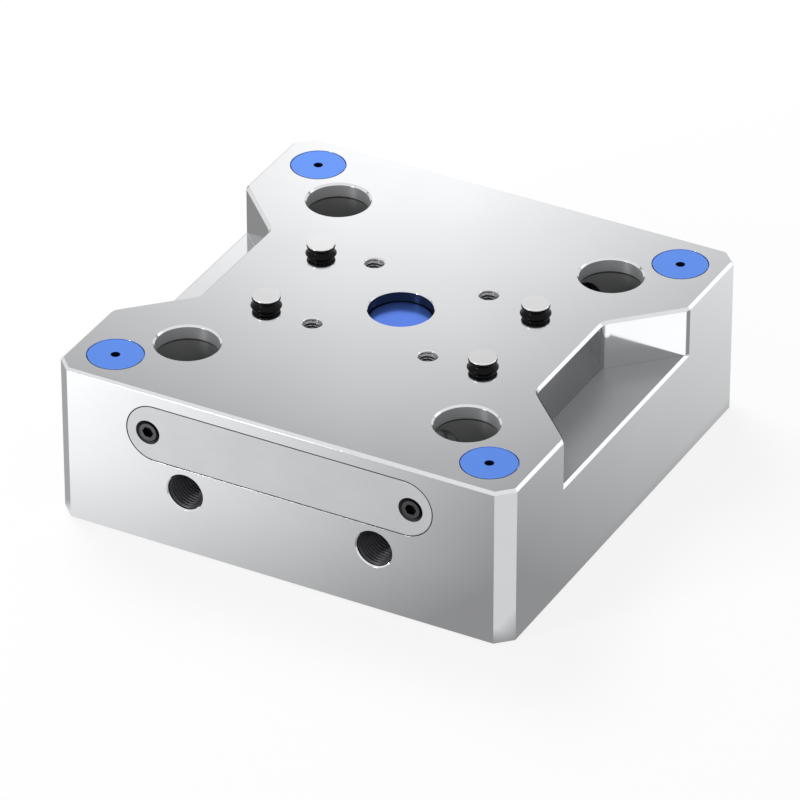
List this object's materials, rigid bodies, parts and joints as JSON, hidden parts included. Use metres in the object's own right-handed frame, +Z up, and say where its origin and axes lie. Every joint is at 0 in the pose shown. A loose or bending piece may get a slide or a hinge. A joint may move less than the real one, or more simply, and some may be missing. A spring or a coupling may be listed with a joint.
{
  "type": "zero point clamping plate",
  "caption": "Square zero point clamping plate that grips pallet studs with sliding pins driven by one piston, with spring lifters and side grip notches.",
  "frame": {"origin": "centre of the plate's bottom face", "axes": "+Z up out of the top face with the stud bores, -Y towards the front face with the oval cover and the ports, +X to the right seen from the front"},
  "size_m": [0.156, 0.156, 0.0576],
  "materials": {
    "plate_steel": "fine ground nickel-plated steel",
    "cover_steel": "satin ground stainless steel",
    "black_oxide": "black oxide on steel",
    "hard_steel": "hardened and ground steel",
    "plug_blue": "blue anodised aluminium",
    "badge_blue": "blue anodised aluminium",
    "rubber_black": "black nitrile rubber",
    "piston_aluminium": "hard-coated aluminium",
    "bush_bronze": "sintered bronze",
    "spring_steel": "bright spring wire"
  },
  "bodies": {
    "plate": {"base_plate": "plate_steel", "bottom_cover": "cover_steel", "bottom_cover_screws": "black_oxide", "bottom_cover_seal": "rubber_black", "front_cover": "cover_steel", "front_cover_gasket": "rubber_black", "front_cover_screws": "black_oxide", "centre_badge": "badge_blue", "corner_plug_seals": "rubber_black", "lifter_circlips": "spring_steel", "corner_plug_front_left": "plug_blue", "lifter_bush_front_left": "bush_bronze", "lifter_spring_front_left": "spring_steel", "lifter_boot_front_left": "rubber_black", "corner_plug_front_right": "plug_blue", "lifter_bush_front_right": "bush_bronze", "lifter_spring_front_right": "spring_steel", "lifter_boot_front_right": "rubber_black", "corner_plug_rear_left": "plug_blue", "lifter_bush_rear_left": "bush_bronze", "lifter_spring_rear_left": "spring_steel", "lifter_boot_rear_left": "rubber_black", "corner_plug_rear_right": "plug_blue", "lifter_bush_rear_right": "bush_bronze", "lifter_spring_rear_right": "spring_steel", "lifter_boot_rear_right": "rubber_black"},
    "piston": {"piston": "piston_aluminium", "piston_seal": "rubber_black", "wedge_block_front": "hard_steel", "wedge_block_rear": "hard_steel", "wedge_screws": "black_oxide"},
    "clamp_pin_front_left": {"clamp_pin_front_left": "hard_steel", "clamp_pin_seal_front_left": "rubber_black"},
    "clamp_pin_front_right": {"clamp_pin_front_right": "hard_steel", "clamp_pin_seal_front_right": "rubber_black"},
    "clamp_pin_rear_left": {"clamp_pin_rear_left": "hard_steel", "clamp_pin_seal_rear_left": "rubber_black"},
    "clamp_pin_rear_right": {"clamp_pin_rear_right": "hard_steel", "clamp_pin_seal_rear_right": "rubber_black"},
    "lifter_front_left": {"lifter_pin_front_left": "hard_steel"},
    "lifter_front_right": {"lifter_pin_front_right": "hard_steel"},
    "lifter_rear_left": {"lifter_pin_rear_left": "hard_steel"},
    "lifter_rear_right": {"lifter_pin_rear_right": "hard_steel"}
  },
  "joints": [
    {"name": "piston_slide", "type": "slide", "parent": "plate", "child": "piston", "axis": [0, 0, 1], "range_m": [0, 0.007]},
    {"name": "clamp_pin_front_left_slide", "type": "slide", "parent": "plate", "child": "clamp_pin_front_left", "axis": [-1, 0, 0], "range_m": [0, 0.0035]},
    {"name": "clamp_pin_front_right_slide", "type": "slide", "parent": "plate", "child": "clamp_pin_front_right", "axis": [1, 0, 0], "range_m": [0, 0.0035]},
    {"name": "clamp_pin_rear_left_slide", "type": "slide", "parent": "plate", "child": "clamp_pin_rear_left", "axis": [-1, 0, 0], "range_m": [0, 0.0035]},
    {"name": "clamp_pin_rear_right_slide", "type": "slide", "parent": "plate", "child": "clamp_pin_rear_right", "axis": [1, 0, 0], "range_m": [0, 0.0035]},
    {"name": "lifter_front_left_slide", "type": "slide", "parent": "plate", "child": "lifter_front_left", "axis": [0, 0, 1], "range_m": [-0.0038, 0], "stiffness_N_per_m": 3000, "springref_m": 0.002, "deforming": ["lifter_spring_front_left", "lifter_boot_front_left"]},
    {"name": "lifter_front_right_slide", "type": "slide", "parent": "plate", "child": "lifter_front_right", "axis": [0, 0, 1], "range_m": [-0.0038, 0], "stiffness_N_per_m": 3000, "springref_m": 0.002, "deforming": ["lifter_spring_front_right", "lifter_boot_front_right"]},
    {"name": "lifter_rear_left_slide", "type": "slide", "parent": "plate", "child": "lifter_rear_left", "axis": [0, 0, 1], "range_m": [-0.0038, 0], "stiffness_N_per_m": 3000, "springref_m": 0.002, "deforming": ["lifter_spring_rear_left", "lifter_boot_rear_left"]},
    {"name": "lifter_rear_right_slide", "type": "slide", "parent": "plate", "child": "lifter_rear_right", "axis": [0, 0, 1], "range_m": [-0.0038, 0], "stiffness_N_per_m": 3000, "springref_m": 0.002, "deforming": ["lifter_spring_rear_right", "lifter_boot_rear_right"]}
  ],
  "couplings": [
    {"joint": "clamp_pin_front_left_slide", "follows": "piston_slide", "ratio": 0.5},
    {"joint": "clamp_pin_front_right_slide", "follows": "piston_slide", "ratio": 0.5},
    {"joint": "clamp_pin_rear_left_slide", "follows": "piston_slide", "ratio": 0.5},
    {"joint": "clamp_pin_rear_right_slide", "follows": "piston_slide", "ratio": 0.5}
  ]
}
